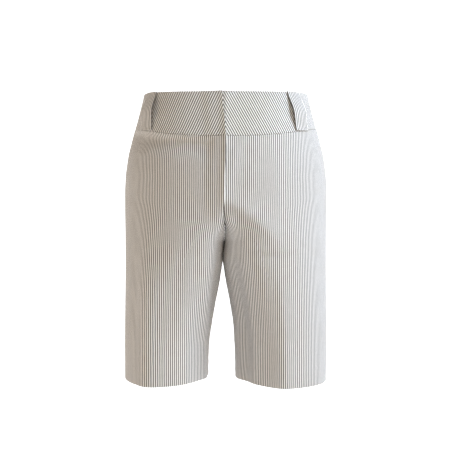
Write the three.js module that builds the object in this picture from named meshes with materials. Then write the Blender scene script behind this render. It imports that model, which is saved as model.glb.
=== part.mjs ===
// Bermuda shorts, filled out as when worn, standing open at the waist and at both hems.
//
// Millimetres. +Z is up, the front faces -Y, and +X is the wearer's left.
// The origin is the centre of the waist opening, level with the waistband's top edge at the side seams.
//
// Each leg is a tube whose level sections are ovals. Above the fork the two tubes run into each other and
// are cut where they meet, which gives the centre seams and the crotch curve. Every tube is cut at its
// outseam and inseam into a front and a back panel. A contoured waistband and three belt loops close it.
import * as THREE from "three";

const RIGHT = -1; // the wearer's right, at -X
const LEFT = 1;

// Cloth
const CLOTH = 1.5; // one layer with its seam allowances pressed flat
const BAND_CLOTH = 2.4; // two layers and an interlining
const LOOP_CLOTH = 2; // a strip folded in four and stitched
const HEM_CLOTH = 3; // the leg turned up once inside the hem
const SEAM_GAP = 0.3;
const LAP_GAP = 0.6; // between the two layers of the fly and of the waistband's lap
const HEM_DEPTH = 28;

// Levels
const FORK_LEVEL = -255; // where the centre seams meet the inseams
const BAND_TOP = { side: 0, front: -4, back: 8 };
const BAND_SEAM = { side: -61, front: -79, back: -66 };
const HEM = { outer: -491.5, inner: -486, front: -497, back: -491 };
const LEFT_HEM_DROP = 2.5; // the wearer's left leg hangs this much lower

// Fly and waistband lap: the wearer's right side closes over the left
const LAP = {
  reach: 1, // of the upper edge past the centre plane
  under: 10, // of the lower edge past it
  flat: 18, // how far from its edge the upper front lies proud
  ramp: 18, // and how much further it takes to come down
  narrowFrom: -186, // the level where the lap starts to narrow
  narrowTo: -203, // where its two edges have come apart
  end: -226, // and where the upper front has come down to the lower one
  ease: 0.5, // the upper edge keeps this much further away while it comes down
};
// The layers and facings behind the fly push both fronts out into a soft ridge along it.
const RIDGE = { height: 2.6, width: 30, fadeFrom: -150, fadeTo: -212 };
// The waistband's upper end slants from the X at its top edge to the X at its lower one.
const BAND_LAP = { top: -6.3, bottom: 1.2, under: 12, flat: 20, ramp: 20 };

// Belt loops. Each is sewn flat over a seat at both ends, and leans a little. turn and foot are the angles
// of its upper and its lower end on the waistband's oval from the side seam, in degrees.
const LOOP = { width: 28, standOff: 5.5, fullness: 0.8, seat: 6, bowedRows: 8, columns: 4 };
const LOOPS = [
  { name: "belt_loop_right", side: RIGHT, half: "front", turn: 29, foot: 33.5 },
  { name: "belt_loop_left", side: LEFT, half: "front", turn: 38.5, foot: 37.5 },
  { name: "belt_loop_back", side: LEFT, half: "back", turn: 90, foot: 90 },
];

// The garment's level sections. level: height. outer: half the whole width. sideY: depth of the outseam.
// frontY and backY: the oval's front and back. frontX and backX: how far from the centre plane these
// foremost and rearmost points of each leg's oval lie. Distances are from the centre plane.
// corner: how square the oval is on its inner side, where one leg presses on the other.
const BODY = table(
  ["level", "outer", "sideY", "frontY", "backY", "frontX", "backX", "corner"],
  [
    [20, 138, 0, -100, 101, 0, 0, 2.15],
    [0, 141.5, 0, -103, 104, 0, 0, 2.15],
    [-40, 151.5, 0, -107, 110, 0, 0, 2.15],
    [-80, 162.8, 1, -112, 118, 0, 0, 2.15],
    [-113, 170.3, 2, -116, 127, 0, 10, 2.15],
    [-150, 174.6, 3, -119, 134, 0, 26, 2.15],
    [-180, 175.4, 4, -119, 137, 4, 38, 2.2],
    [-205, 175.2, 4, -117, 135, 20, 45, 2.4],
    [-230, 174.8, 4, -114, 129, 38, 50, 2.8],
    [-255, 174.5, 4, -111, 122, 52, 58, 3],
    [-287, 174.2, 3, -106, 113, 66, 70, 2.9],
    [-320, 174.3, 3, -102, 106, 78, 80, 2.6],
    [-357, 174.6, 2, -98, 100, 87, 88, 2.4],
    [-400, 175, 1, -94, 94, 93, 93, 2.2],
    [-427, 175.2, 1, -91, 90, 96, 95, 2.15],
    [-500, 174.4, 0, -86, 84, 100, 98, 2.15],
  ],
);

// Where each leg's oval would end on its inner side. Below zero the oval runs past the centre plane and is
// cut there. Below the fork it is half the gap between the legs.
const INNER = table(
  ["level", "front", "back"],
  [
    [20, -138, -138],
    [0, -141.5, -141.5],
    [-40, -151.5, -151.5],
    [-80, -162.8, -161],
    [-113, -170.3, -153],
    [-150, -172, -130],
    [-180, -140, -96],
    [-205, -75, -58],
    [-218, -42, -38],
    [-230, -22, -22],
    [-243, -7, -8],
    [FORK_LEVEL, SEAM_GAP / 2, SEAM_GAP / 2],
    [-287, 0.3, 0.3],
    [-298, 1.6, 1.6],
    [-323, 5.3, 5.3],
    [-357, 11.8, 11.8],
    [-392, 17.7, 17.7],
    [-427, 21.5, 21.5],
    [-460, 22.9, 22.9],
    [-500, 23.4, 23.4],
  ],
);

// The fly, the crotch and the gap between the legs lie a little to the wearer's right of the middle, and
// the crease between the legs wavers as it goes down.
const CENTRE = table(
  ["level", "x"],
  [
    [-79, 0],
    [-140, -1.8],
    [-190, -3.2],
    [-215, -3.8],
    [-240, -1.6],
    [-255, -2.6],
    [-280, -5.4],
    [-345, -5.2],
    [-392, -5.6],
    [-430, -7],
    [-500, -7.3],
  ],
);

// 2 would be an ellipse. A little more gives the fuller corners of cloth over hips and thighs.
const ROUNDNESS = 2.15;

const CURVE_STEPS = 160; // straight steps that measure a curve's length

const CLOTH_COLOUR = 0xcdc6bd; // off-white and taupe stripes, seen as one

// A table of named columns whose values run smoothly between its rows
function table(columns, rows) {
  const sorted = [...rows].sort((a, b) => a[0] - b[0]);
  const levels = sorted.map((row) => row[0]);
  const columnAt = (name) => sorted.map((row) => row[columns.indexOf(name)]);
  const curves = Object.fromEntries(
    columns.slice(1).map((name) => [name, monotone(levels, columnAt(name))]),
  );
  return (name, level) => curves[name](level);
}

// A cubic through the points that never overshoots them
function monotone(xs, ys) {
  const steps = xs.slice(1).map((x, i) => x - xs[i]);
  const slopes = steps.map((step, i) => (ys[i + 1] - ys[i]) / step);
  const tangents = ys.map((_, i) => {
    if (i === 0) return slopes[0];
    if (i === ys.length - 1) return slopes[i - 1];
    const [before, after] = [slopes[i - 1], slopes[i]];
    return before * after <= 0 ? 0 : (2 * before * after) / (before + after);
  });
  return (x) => {
    const at = THREE.MathUtils.clamp(x, xs[0], xs[xs.length - 1]);
    let i = 0;
    while (i < steps.length - 1 && at > xs[i + 1]) i += 1;
    const t = (at - xs[i]) / steps[i];
    const [t2, t3] = [t * t, t * t * t];
    return (
      (2 * t3 - 3 * t2 + 1) * ys[i] +
      (t3 - 2 * t2 + t) * steps[i] * tangents[i] +
      (-2 * t3 + 3 * t2) * ys[i + 1] +
      (t3 - t2) * steps[i] * tangents[i + 1]
    );
  };
}

// The oval of one leg at a level, as distances outwards from the centre plane
function oval(side, half, level) {
  const outer = BODY("outer", level) - side * CENTRE("x", level);
  const apex = BODY(half === "front" ? "frontX" : "backX", level);
  return {
    apex,
    outerReach: outer - apex,
    innerReach: apex - INNER(half, level),
    corner: BODY("corner", level),
    sideY: BODY("sideY", level),
    depth: BODY(half === "front" ? "frontY" : "backY", level) - BODY("sideY", level),
  };
}

// A point of the oval. turn runs from 0 at the outseam through 90 degrees at the apex to 180 at the inseam
function ovalPoint(side, half, turn, level) {
  const o = oval(side, half, level);
  const [across, away] = [Math.cos(turn), Math.sin(turn)];
  const [reach, power] = across > 0 ? [o.outerReach, ROUNDNESS] : [o.innerReach, o.corner];
  const out = o.apex + Math.sign(across) * reach * Math.abs(across) ** (2 / power);
  return new THREE.Vector3(
    CENTRE("x", level) + side * out,
    o.sideY + o.depth * Math.abs(away) ** (2 / power),
    level,
  );
}

// Grows outwards from the surface, so its gradient gives the way out
function fieldAt(side, half, x, y, level) {
  const o = oval(side, half, level);
  const out = side * (x - CENTRE("x", level)) - o.apex;
  const [reach, power] = out > 0 ? [o.outerReach, ROUNDNESS] : [o.innerReach, o.corner];
  const across = Math.abs(out) / reach;
  const away = Math.abs((y - o.sideY) / o.depth);
  return (across ** power + away ** power) ** (1 / power);
}

function wayOut(side, half, p) {
  const d = 0.02; // small enough to follow the tightest bend
  const at = (dx, dy, dz) => fieldAt(side, half, p.x + dx, p.y + dy, p.z + dz);
  return new THREE.Vector3(
    at(d, 0, 0) - at(-d, 0, 0),
    at(0, d, 0) - at(0, -d, 0),
    at(0, 0, d) - at(0, 0, -d),
  ).normalize();
}

// The turn at which a leg's oval meets the plane at this distance outwards from the centre plane
function turnAt(side, half, level, distance) {
  const o = oval(side, half, level);
  const share = (o.apex - distance) / o.innerReach;
  if (share >= 1) return Math.PI;
  return Math.PI - Math.acos(Math.sign(share) * Math.abs(share) ** (o.corner / 2));
}

// The turn that lies at each share of the way along a path that runs from no turn to the last one
function evenTurns(path, last) {
  const points = shares(CURVE_STEPS).map((share) => path(last * share));
  const lengths = [0];
  for (let i = 1; i <= CURVE_STEPS; i += 1)
    lengths.push(lengths[i - 1] + points[i].distanceTo(points[i - 1]));
  const whole = lengths[CURVE_STEPS];
  const turn = (share) => {
    const want = THREE.MathUtils.clamp(share, 0, 1) * whole;
    let i = 1;
    while (i < CURVE_STEPS && lengths[i] < want) i += 1;
    const part = (want - lengths[i - 1]) / (lengths[i] - lengths[i - 1]);
    return (last * (i - 1 + part)) / CURVE_STEPS;
  };
  return { turn, whole };
}

// How far a line has gone over from its level at the outseam to its level at the other end of its span
function crossed(turn, span) {
  return Math.sin((Math.min(turn / span, 1) * Math.PI) / 2) ** 2;
}

// Heights that run round the waist: at the side seam, and at the front or back
function roundLevel(levels, half, turn) {
  return THREE.MathUtils.lerp(levels.side, levels[half], crossed(turn, Math.PI / 2));
}

// One closed solid between an outer and an inner grid of points
function wall(outer, inner) {
  const [rows, columns] = [outer.length, outer[0].length];
  const positions = [...outer.flat(), ...inner.flat()].flatMap((p) => p.toArray());
  const at = (layer, row, column) => layer * rows * columns + row * columns + column;
  const index = [];
  const quad = (a, b, c, d) => index.push(a, b, c, a, c, d);
  // Each cell is cut along its shorter diagonal, the same way on both faces.
  for (let r = 0; r < rows - 1; r += 1)
    for (let c = 0; c < columns - 1; c += 1) {
      const cell = [[r, c], [r + 1, c], [r + 1, c + 1], [r, c + 1]];
      const falling = outer[r][c].distanceTo(outer[r + 1][c + 1]);
      const rising = outer[r + 1][c].distanceTo(outer[r][c + 1]);
      if (falling > rising) cell.push(cell.shift());
      const [a, b, d, e] = cell;
      quad(at(0, ...a), at(0, ...b), at(0, ...d), at(0, ...e));
      quad(at(1, ...a), at(1, ...e), at(1, ...d), at(1, ...b));
    }
  for (let c = 0; c < columns - 1; c += 1) {
    quad(at(0, 0, c), at(0, 0, c + 1), at(1, 0, c + 1), at(1, 0, c));
    quad(at(0, rows - 1, c + 1), at(0, rows - 1, c), at(1, rows - 1, c), at(1, rows - 1, c + 1));
  }
  for (let r = 0; r < rows - 1; r += 1) {
    quad(at(0, r + 1, 0), at(0, r, 0), at(1, r, 0), at(1, r + 1, 0));
    quad(
      at(0, r, columns - 1),
      at(0, r + 1, columns - 1),
      at(1, r + 1, columns - 1),
      at(1, r, columns - 1),
    );
  }
  if (volumeOf(positions, index) < 0)
    for (let i = 0; i < index.length; i += 3)
      [index[i + 1], index[i + 2]] = [index[i + 2], index[i + 1]];
  const geometry = new THREE.BufferGeometry();
  geometry.setAttribute("position", new THREE.Float32BufferAttribute(positions, 3));
  geometry.setIndex(index);
  return geometry;
}

function volumeOf(positions, index) {
  const corner = (i) => new THREE.Vector3().fromArray(positions, 3 * i);
  let sum = 0;
  for (let i = 0; i < index.length; i += 3)
    sum += corner(index[i]).dot(corner(index[i + 1]).cross(corner(index[i + 2])));
  return sum / 6;
}

// Grids of the outer and inner faces, from a function that gives a point, its way out and its thickness
function grids(rows, columns, place) {
  const cells = rows.map((row) => columns.map((column) => place(row, column)));
  const move = (cell, by) => cell.point.clone().addScaledVector(cell.out, by);
  return [
    cells.map((row) => row.map((cell) => move(cell, cell.lift))),
    cells.map((row) => row.map((cell) => move(cell, cell.lift - cell.thickness))),
  ];
}

function shares(count) {
  return Array.from({ length: count + 1 }, (_, i) => i / count);
}

// Columns that draw closer together towards the centre front, where the fly laps
function columnShares(half, count) {
  const crowding = half === "front" ? 1.35 : 1;
  return shares(count).map((share) => 1 - (1 - share) ** crowding);
}

// Goes from 0 to 1 as the value goes from one mark to the other, with no corner at either
function smooth(value, from, to) {
  const t = THREE.MathUtils.clamp((value - from) / (to - from), 0, 1);
  return t * t * (3 - 2 * t);
}

// Leg panels

const FRONT_COLUMNS = 18;
const BACK_COLUMNS = 15;
const UPPER_ROWS = 15; // from the waist seam to the fork
const LOWER_ROWS = 10; // from the fork to the hem's fold, closer together near the fork
const HEM_ROWS = 2;
const FORK_CROWDING = 1.3;
const FOLD_STEP = 1; // the hem's layers thicken the wall over this much of the leg's length
const DIP_START = 0.3; // how far down the leg, as a share, its rows begin to dip as the hem does

// How far down the leg the hem's fold lies, as a share of the way from the fork
const FOLD_SHARE = 1 - HEM_DEPTH / (FORK_LEVEL - HEM.outer);
const STEP_SHARE = FOLD_SHARE + FOLD_STEP / (FORK_LEVEL - HEM.outer);

// The fly's lap narrows to nothing first, and its upper edge comes down to the seam below that.
function lapWidth(level) {
  return 1 - smooth(-level, -LAP.narrowFrom, -LAP.narrowTo);
}

function lapHeight(level) {
  return 1 - smooth(-level, -LAP.narrowTo, -LAP.end);
}

// Where a panel ends at its centre seam, as a distance outwards from the centre plane
function centreEdge(side, half, level) {
  if (half === "back") return SEAM_GAP / 2;
  const lapped = side === RIGHT ? -LAP.reach : -LAP.under;
  const apart = SEAM_GAP / 2 + (side === RIGHT ? LAP.ease * lapHeight(level) : 0);
  return THREE.MathUtils.lerp(apart, lapped, lapWidth(level));
}

// Both fronts rise to the ridge, and the wearer's right front also over the edge of the left one.
function flyLift(side, half, point) {
  if (half === "back") return 0;
  const ridge = ridgeLift(point);
  if (side !== RIGHT) return ridge;
  const fromEdge = CENTRE("x", point.z) + LAP.reach - point.x;
  const rise = 1 - smooth(fromEdge, LAP.flat, LAP.flat + LAP.ramp);
  return ridge + (CLOTH + LAP_GAP) * rise * lapHeight(point.z);
}

function ridgeLift(point) {
  const beside = Math.min(Math.abs(point.x - CENTRE("x", point.z)) / RIDGE.width, 1);
  const left = 1 - smooth(-point.z, -RIDGE.fadeFrom, -RIDGE.fadeTo);
  return RIDGE.height * (1 - beside) ** 2 * left;
}

// The centre seam from the waistband down to the fork, as levels and turns at even steps along it
function centreSeam(side, half) {
  const top = BAND_SEAM[half] - SEAM_GAP;
  const samples = shares(2 * CURVE_STEPS).map((share) => {
    const level = FORK_LEVEL + (top - FORK_LEVEL) * (1 - share) ** 2;
    const turn = turnAt(side, half, level, centreEdge(side, half, level));
    return { level, turn, point: ovalPoint(side, half, turn, level) };
  });
  const lengths = [0];
  for (let i = 1; i < samples.length; i += 1)
    lengths.push(lengths[i - 1] + samples[i].point.distanceTo(samples[i - 1].point));
  return (share) => {
    const want = share * lengths[lengths.length - 1];
    let i = 1;
    while (i < samples.length - 1 && lengths[i] < want) i += 1;
    const part = (want - lengths[i - 1]) / (lengths[i] - lengths[i - 1]);
    const between = (name) => THREE.MathUtils.lerp(samples[i - 1][name], samples[i][name], part);
    return { level: between("level"), turn: between("turn") };
  };
}

// The rows of a panel, each given by its level at the outseam, its level and turn at its inner edge, and
// how much lower it hangs between them
function panelRows(side, half) {
  const seam = centreSeam(side, half);
  const upper = shares(UPPER_ROWS).map((share) => {
    const inner = seam(share);
    const outer = THREE.MathUtils.lerp(BAND_SEAM.side - SEAM_GAP, FORK_LEVEL, share);
    const span = THREE.MathUtils.lerp(Math.PI / 2, inner.turn, smooth(share, 0, 0.5));
    return { outer, inner: inner.level, end: inner.turn, span, dip: 0, thickness: CLOTH };
  });
  const down = shares(LOWER_ROWS).map((share) => FOLD_SHARE * share ** FORK_CROWDING);
  const inHem = shares(HEM_ROWS).map((share) => STEP_SHARE + (1 - STEP_SHARE) * share);
  const drop = side === LEFT ? LEFT_HEM_DROP : 0;
  const lower = [...down.slice(1), ...inHem].map((share) => ({
    outer: THREE.MathUtils.lerp(FORK_LEVEL, HEM.outer - drop, share),
    inner: THREE.MathUtils.lerp(FORK_LEVEL, HEM.inner - drop, share),
    end: Math.PI,
    span: Math.PI,
    dip: (HEM[half] - (HEM.outer + HEM.inner) / 2) * smooth(share, DIP_START, FOLD_SHARE),
    thickness: share < STEP_SHARE ? CLOTH : HEM_CLOTH,
  }));
  return [...upper, ...lower];
}

function rowPoint(side, half, row, turn) {
  const level = THREE.MathUtils.lerp(row.outer, row.inner, crossed(turn, row.span));
  return ovalPoint(side, half, turn, level + row.dip * Math.sin(turn) ** 2);
}

function legPanel(side, half) {
  const columns = half === "front" ? FRONT_COLUMNS : BACK_COLUMNS;
  const rows = panelRows(side, half).map((row) => {
    const along = evenTurns((turn) => rowPoint(side, half, row, turn), row.end);
    const first = SEAM_GAP / 2 / along.whole;
    const last = row.end > Math.PI - 0.01 ? 1 - first : 1;
    return { ...row, along, first, last };
  });
  const place = (row, column) => {
    const turn = row.along.turn(row.first + (row.last - row.first) * column);
    const point = rowPoint(side, half, row, turn);
    const lift = flyLift(side, half, point);
    return { point, out: wayOut(side, half, point), lift, thickness: row.thickness };
  };
  return wall(...grids(rows, columnShares(half, columns), place));
}

// Waistband

const BAND_ROWS = 3;
const BAND_COLUMNS = 14;

function bandPiece(side, half) {
  const rows = shares(BAND_ROWS).map((down) => {
    const path = (turn) => {
      const top = roundLevel(BAND_TOP, half, turn);
      const level = top + (roundLevel(BAND_SEAM, half, turn) - top) * down;
      return ovalPoint(side, half, turn, level);
    };
    const level = THREE.MathUtils.lerp(BAND_TOP[half], BAND_SEAM[half], down);
    const last = turnAt(side, half, level, bandEdge(side, half, down));
    const along = evenTurns(path, last);
    return { down, path, along, first: SEAM_GAP / 2 / along.whole };
  });
  const place = (row, column) => {
    const point = row.path(row.along.turn(row.first + (1 - row.first) * column));
    const fromEdge = bandLapLine(row.down) - point.x;
    const rise = 1 - smooth(fromEdge, BAND_LAP.flat, BAND_LAP.flat + BAND_LAP.ramp);
    const ridge = half === "front" ? ridgeLift(point) : 0;
    const laps = half === "front" && side === RIGHT;
    return {
      point,
      out: wayOut(side, half, point),
      lift: ridge + (laps ? (BAND_CLOTH + LAP_GAP) * rise : 0),
      thickness: BAND_CLOTH,
    };
  };
  return wall(...grids(rows, columnShares(half, BAND_COLUMNS), place));
}

// The slanting front end of the waistband, from its top edge down
function bandLapLine(down) {
  return THREE.MathUtils.lerp(BAND_LAP.top, BAND_LAP.bottom, down);
}

function bandEdge(side, half, down) {
  if (half === "back") return SEAM_GAP / 2;
  return side === RIGHT ? -bandLapLine(down) : bandLapLine(down) - BAND_LAP.under;
}

// Belt loops

// A strip that bows away from the waistband between its two sewn ends
function beltLoop({ side, half, turn, foot }) {
  const [upper, lower] = [turn, foot].map(THREE.MathUtils.degToRad);
  const top = roundLevel(BAND_TOP, half, upper);
  const bottom = roundLevel(BAND_SEAM, half, lower);
  const seat = LOOP.seat / (top - bottom);
  const bowed = shares(LOOP.bowedRows).map((share) => THREE.MathUtils.lerp(seat, 1 - seat, share));
  const place = (down, across) => {
    const level = THREE.MathUtils.lerp(top, bottom, down);
    const middle = THREE.MathUtils.lerp(upper, lower, down);
    const beside = turnBeside(side, half, level, middle, (across - 0.5) * LOOP.width);
    const point = ovalPoint(side, half, beside, level);
    const bow = Math.sin(Math.PI * smooth(down, seat / 2, 1 - seat / 2)) ** LOOP.fullness;
    return {
      point,
      out: wayOut(side, half, point),
      lift: SEAM_GAP + LOOP_CLOTH + LOOP.standOff * bow,
      thickness: LOOP_CLOTH,
    };
  };
  return wall(...grids([0, ...bowed, 1], shares(LOOP.columns), place));
}

// The turn that lies a signed distance along the waistband from another turn
function turnBeside(side, half, level, turn, distance) {
  const step = 0.002;
  const here = ovalPoint(side, half, turn, level);
  const speed = ovalPoint(side, half, turn + step, level).distanceTo(here) / step;
  return turn + distance / speed;
}

// Assembly

const shorts = new THREE.Group();

function sew(name, geometry) {
  const material = new THREE.MeshStandardMaterial({
    color: CLOTH_COLOUR,
    roughness: 0.9,
    metalness: 0,
  });
  const mesh = new THREE.Mesh(geometry, material);
  mesh.name = name;
  shorts.add(mesh);
}

for (const side of [RIGHT, LEFT])
  for (const half of ["front", "back"]) {
    const place = `${half}_${side === RIGHT ? "right" : "left"}`;
    sew(`leg_${place}`, legPanel(side, half));
    sew(`waistband_${place}`, bandPiece(side, half));
  }
for (const loop of LOOPS) sew(loop.name, beltLoop(loop));

export default shorts;
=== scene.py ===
import math

import bmesh
import bpy
import numpy as np
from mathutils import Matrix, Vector


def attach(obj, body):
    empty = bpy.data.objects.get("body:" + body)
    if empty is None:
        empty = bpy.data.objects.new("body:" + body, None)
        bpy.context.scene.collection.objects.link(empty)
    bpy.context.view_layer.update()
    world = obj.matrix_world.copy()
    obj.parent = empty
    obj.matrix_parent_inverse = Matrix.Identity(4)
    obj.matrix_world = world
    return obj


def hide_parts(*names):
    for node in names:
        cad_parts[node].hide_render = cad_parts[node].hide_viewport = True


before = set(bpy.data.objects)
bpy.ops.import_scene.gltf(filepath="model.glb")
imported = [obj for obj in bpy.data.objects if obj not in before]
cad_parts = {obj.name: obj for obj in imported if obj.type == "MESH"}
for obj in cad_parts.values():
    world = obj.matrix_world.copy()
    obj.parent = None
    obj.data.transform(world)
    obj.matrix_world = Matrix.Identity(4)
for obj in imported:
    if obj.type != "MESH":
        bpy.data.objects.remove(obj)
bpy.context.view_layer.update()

# Bermuda shorts in a fine striped cloth, filled out as when worn and open at the waist and both hems.
# Each cut piece is one thin closed shell on the form of its solid. Shapes are worked out in millimetres
# in the frame's own axes, with +Z up, the front towards -Y and +X the wearer's left, and become metres
# when a mesh is made.

bl_info = {
    "name": "Bermuda shorts",
    "version": (1, 0, 0),
    "blender": (4, 5, 0),
    "location": "3D View > Sidebar > Shorts",
    "description": "Makes striped bermuda shorts, panel by panel, and a pale studio round them",
    "category": "Object",
}

MM = 0.001
RIGHT, LEFT = -1, 1
SIDE_NAMES = {RIGHT: "right", LEFT: "left"}


# Tables of the garment's sections


def monotone(xs, ys):
    """A cubic through the points that never overshoots them, for one level or an array of them"""
    steps = np.diff(xs)
    slopes = np.diff(ys) / steps
    product = slopes[:-1] * slopes[1:]
    sums = np.where(product > 0, slopes[:-1] + slopes[1:], 1)
    inner = np.where(product > 0, 2 * product / sums, 0)
    tangents = np.concatenate([[slopes[0]], inner, [slopes[-1]]])

    def value(x):
        at = np.clip(x, xs[0], xs[-1])
        i = np.clip(np.searchsorted(xs, at, side="right") - 1, 0, len(steps) - 1)
        t = (at - xs[i]) / steps[i]
        t2, t3 = t * t, t * t * t
        return (
            (2 * t3 - 3 * t2 + 1) * ys[i]
            + (t3 - 2 * t2 + t) * steps[i] * tangents[i]
            + (-2 * t3 + 3 * t2) * ys[i + 1]
            + (t3 - t2) * steps[i] * tangents[i + 1]
        )

    return value


def table(columns, rows):
    """Named columns whose values run smoothly between the table's rows, the first of which is the level"""
    rows = np.array(sorted(rows), float)
    curves = {
        name: monotone(rows[:, 0], rows[:, i + 1]) for i, name in enumerate(columns)
    }
    return lambda name, level: curves[name](level)


# outer: half the whole width. side_y: depth of the outseam. front_y and back_y: the oval's front and back.
# front_x and back_x: how far from the centre plane each leg's foremost and rearmost points lie. corner: how
# square the oval is on its inner side.
BODY = table(
    ["outer", "side_y", "front_y", "back_y", "front_x", "back_x", "corner"],
    [
        (20, 138, 0, -100, 101, 0, 0, 2.15),
        (0, 141.5, 0, -103, 104, 0, 0, 2.15),
        (-40, 151.5, 0, -107, 110, 0, 0, 2.15),
        (-80, 162.8, 1, -112, 118, 0, 0, 2.15),
        (-113, 170.3, 2, -116, 127, 0, 10, 2.15),
        (-150, 174.6, 3, -119, 134, 0, 26, 2.15),
        (-180, 175.4, 4, -119, 137, 4, 38, 2.2),
        (-205, 175.2, 4, -117, 135, 20, 45, 2.4),
        (-230, 174.8, 4, -114, 129, 38, 50, 2.8),
        (-255, 174.5, 4, -111, 122, 52, 58, 3),
        (-287, 174.2, 3, -106, 113, 66, 70, 2.9),
        (-320, 174.3, 3, -102, 106, 78, 80, 2.6),
        (-357, 174.6, 2, -98, 100, 87, 88, 2.4),
        (-400, 175, 1, -94, 94, 93, 93, 2.2),
        (-427, 175.2, 1, -91, 90, 96, 95, 2.15),
        (-500, 174.4, 0, -86, 84, 100, 98, 2.15),
    ],
)

# Where each leg's oval would end on its inner side: below zero it runs past the centre plane and is cut
# there. The thighs press on each other from the fork down to -287, so no light comes through.
INNER = table(
    ["front", "back"],
    [
        (20, -138, -138),
        (0, -141.5, -141.5),
        (-40, -151.5, -151.5),
        (-80, -162.8, -161),
        (-113, -170.3, -153),
        (-150, -172, -130),
        (-180, -140, -96),
        (-205, -75, -58),
        (-218, -42, -38),
        (-230, -22, -22),
        (-243, -7, -8),
        (-255, 0.05, 0.05),
        (-287, 0.08, 0.08),
        (-298, 1.5, 1.5),
        (-323, 5.3, 5.3),
        (-357, 11.8, 11.8),
        (-392, 17.7, 17.7),
        (-427, 21.5, 21.5),
        (-460, 22.9, 22.9),
        (-500, 23.4, 23.4),
    ],
)

# How far the fly, the crotch and the gap between the legs lie from the middle
CENTRE = table(
    ["x"],
    [
        (-79, 0),
        (-140, -1.8),
        (-190, -3.2),
        (-215, -3.8),
        (-240, -1.6),
        (-255, -2.6),
        (-280, -5.4),
        (-345, -5.2),
        (-392, -5.6),
        (-430, -7),
        (-500, -7.3),
    ],
)

ROUNDNESS = 2.15  # of the ovals' outer sides, where 2 would be an ellipse

FORK_LEVEL = -255
BAND_TOP = {"side": 0, "front": -4, "back": 8}
BAND_SEAM = {"side": -61, "front": -79, "back": -66}
HEM = {"outer": -491.5, "inner": -486, "front": -497, "back": -491}
LEFT_HEM_DROP = 2.5
CLOTH = 1.5  # one layer with its seam allowances pressed flat
BAND_CLOTH = 2.4
LOOP_CLOTH = 2
HEM_CLOTH = 3
HEM_STEP = 1  # the turned-up hem thickens the wall over this length
SEAM_GAP = 0.1
LAP_GAP = 0.6

# The fly: its upper edge, the hidden lower one, where it lies proud, and the levels over which it ends
FLY = {
    "reach": 1,
    "under": 10,
    "flat": 18,
    "ramp": 18,
    "narrow_from": -186,
    "narrow_to": -203,
    "end": -226,
    "ease": 0.5,
}
BAND_LAP = {"top": -6.3, "bottom": 1.2, "under": 12, "flat": 20, "ramp": 20}
# The layers and facings behind the fly push both fronts out into a soft ridge along it, here with a
# wider foot than on the solids, and a sharper crest on the front that lies over: heights and widths
RIDGES = {
    RIGHT: ((2.6, 30), (3.2, 14), (2.0, 70)),
    LEFT: ((2.6, 30), (2.0, 70)),
}
RIDGE_END = -165, -222  # the levels between which it fades

# The crease between the thighs: how far back it goes in front and how far forwards behind, the level
# where it begins, the length over which it deepens, the levels over which it ends, and its half width
CREASE = {
    "front": {"back": 6, "top": -204},
    "back": {"back": -3.5, "top": -196},
    "deepens": 24,
    "end": (-256, -276),
    "width": 2.6,
}
# Where the thighs press on each other in front, they bulge beside the crease, one more than the other:
# heights, the distance to the crest, and the levels over which the bulges set in and end
BULGE = {RIGHT: 1.5, LEFT: 6, "width": 8, "start": (-200, -226), "end": (-264, -320)}
# Down from these levels the edges that meet in the middle are hardly rounded, so no light comes through.
SHARP = {"start": (-196, -210), "share": 0.9}

# Below the waistband the fronts sink by this much, within one length, and are back up by the other. They
# don't sink beside the layers of the fly, nor at the side seam, but only over the distances given for both.
HOLLOW = {
    RIGHT: 5.5,
    LEFT: 0.5,
    "down": 10,
    "back": 45,
    "fly": (11, 34),
    "side": (2, 70),
}

# Heights of the seams' puckers, and of slow waves along the hem and over the stiffened waistband
PUCKERS = {"leg_sides": 0.16, "leg_top": 0.2, "band_foot": 0.12, "band_ends": 0.1}
HEM_WAVE = {"height": 0.5, "reach": 30, "length": 14}
BAND_WAVE = {"height": 0.25, "length": 17, "fall": 22}
# The blind stitches that hold the hem, and the row of stitching along both sides of a belt loop
HEM_STITCH = {"pitch": 6.5, "depth": 0.22, "width": 1.1, "least": 0.3}
LOOP_STITCH = {"in": 3.2, "depth": 0.18, "width": 0.7}

LOOP = {"width": 28, "stand_off": 5.5, "fullness": 0.8, "seat": 6, "gap": 0.3}
# Name, side, half, and the angles of the upper and the lower end from the side seam in degrees
LOOPS = (
    ("belt_loop_right", RIGHT, "front", 29, 33.5),
    ("belt_loop_left", LEFT, "front", 38.5, 37.5),
    ("belt_loop_back", LEFT, "back", 90, 90),
)

# How much of half the thickness a piece's rounded edge leaves flat
EDGE_FLAT = {"hem": 0.05, "band": 0.02, "loop": 0.03}

GRAIN_X = {"front": 92, "back": 95}  # how far from the middle each leg panel's grain line hangs
BAND_FRONT_LENGTH = 190  # round the front, from the middle to the side seam

# How finely the pieces are divided
CURVE_STEPS = 400
SEAM_STEPS = 600
UPPER_ROWS, LOWER_ROWS, HEM_ROWS, COLUMNS = 66, 70, 12, 140
BAND_ROWS, BAND_COLUMNS = 26, 96
LOOP_ROWS, LOOP_COLUMNS = 40, 10
FOLD_STEPS = 25

# Distances from an edge, in millimetres, of the lines that round it off
EDGE_LINES = np.array([0.04, 0.18, 0.4, 0.7, 1.1, 1.7, 2.6, 3.8])


# Sections


def blend(low, high, share):
    return low + (high - low) * share


def smooth(value, start, end):
    """From 0 to 1 as the value goes from one mark to the other, with no corner at either"""
    t = np.clip((value - start) / (end - start), 0, 1)
    return t * t * (3 - 2 * t)


def below(level, start, end):
    """From 0 to 1 as the level goes down from one mark to the other"""
    return smooth(-level, -start, -end)


def crossed(turn, span):
    """From 0 to 1 as the turn goes over its span"""
    return np.sin(np.minimum(turn / span, 1) * math.pi / 2) ** 2


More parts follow.
